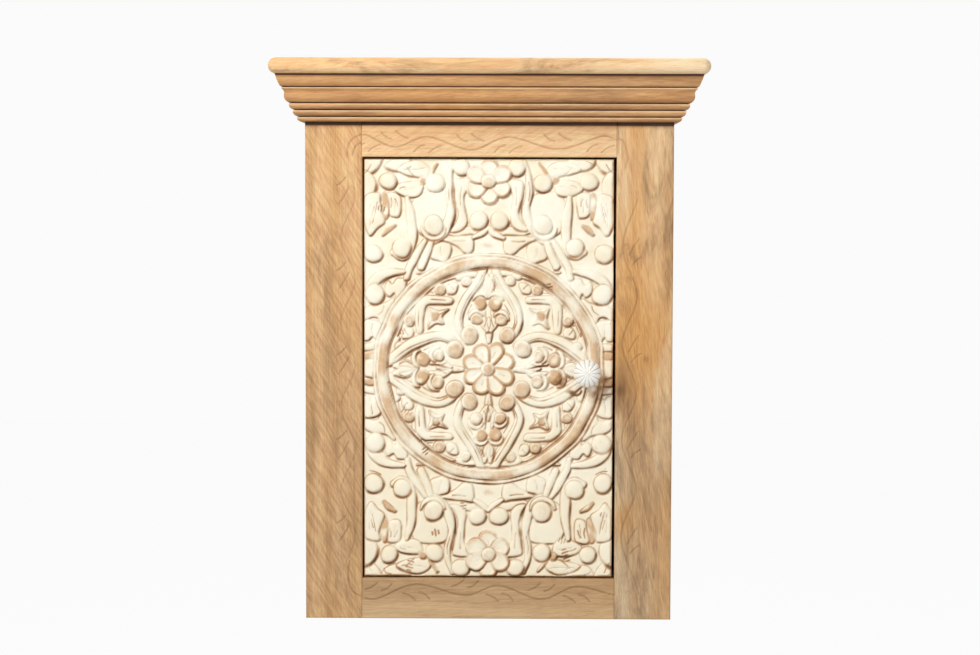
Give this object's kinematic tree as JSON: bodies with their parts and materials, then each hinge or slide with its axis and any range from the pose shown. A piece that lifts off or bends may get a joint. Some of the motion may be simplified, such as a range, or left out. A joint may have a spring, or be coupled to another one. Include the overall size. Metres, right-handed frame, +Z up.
{
  "type": "wall cabinet",
  "caption": "Wooden wall cabinet with a carved limewashed door on hidden pivots, a fluted ceramic knob, shelves inside and a moulded cornice under a bullnosed cap.",
  "frame": {"origin": "middle of the two wall-screw holes, on the wall plane at the back of the cabinet", "axes": "+X to the right of someone facing the cabinet, +Y into the wall (the front faces -Y), +Z up"},
  "size_m": [0.477, 0.202, 0.615],
  "materials": {
    "case_wood": "waxed honey-coloured hardwood",
    "inner_wood": "plain sanded hardwood",
    "limed_wood": "whitewashed carved wood, rubbed back to tan on the high places",
    "white_glaze": "white gloss glaze",
    "brass": "plain brass",
    "steel": "zinc-plated steel",
    "catch_plastic": "brown moulded plastic",
    "ferrite": "dark ferrite"
  },
  "bodies": {
    "case": {"left_side_panel": "case_wood", "right_side_panel": "case_wood", "carcass_bottom_board": "inner_wood", "carcass_top_board": "inner_wood", "lower_shelf": "inner_wood", "upper_shelf": "inner_wood", "back_panel": "inner_wood", "hanging_rail": "inner_wood", "back_panel_brads": "steel", "left_stile": "case_wood", "right_stile": "case_wood", "bottom_rail": "case_wood", "top_rail": "case_wood", "cornice_front": "case_wood", "cornice_left_return": "case_wood", "cornice_right_return": "case_wood", "cap_board": "case_wood", "pivot_bush_bottom": "brass", "pivot_bush_top": "brass", "pivot_washer": "brass", "catch_body": "catch_plastic", "catch_magnet": "ferrite", "catch_pole_plates": "steel"},
    "door": {"door_panel": "limed_wood", "pivot_pin_bottom": "steel", "pivot_pin_top": "steel", "knob": "white_glaze", "knob_collar": "brass", "knob_stud": "steel", "knob_washer": "steel", "knob_nut": "steel", "strike_plate": "steel"}
  },
  "joints": [
    {"name": "door_hinge", "type": "hinge", "parent": "case", "child": "door", "pos_m": [-0.1175, -0.151, -0.2751], "axis": [0, 0, -1], "range_deg": [0, 110]}
  ]
}
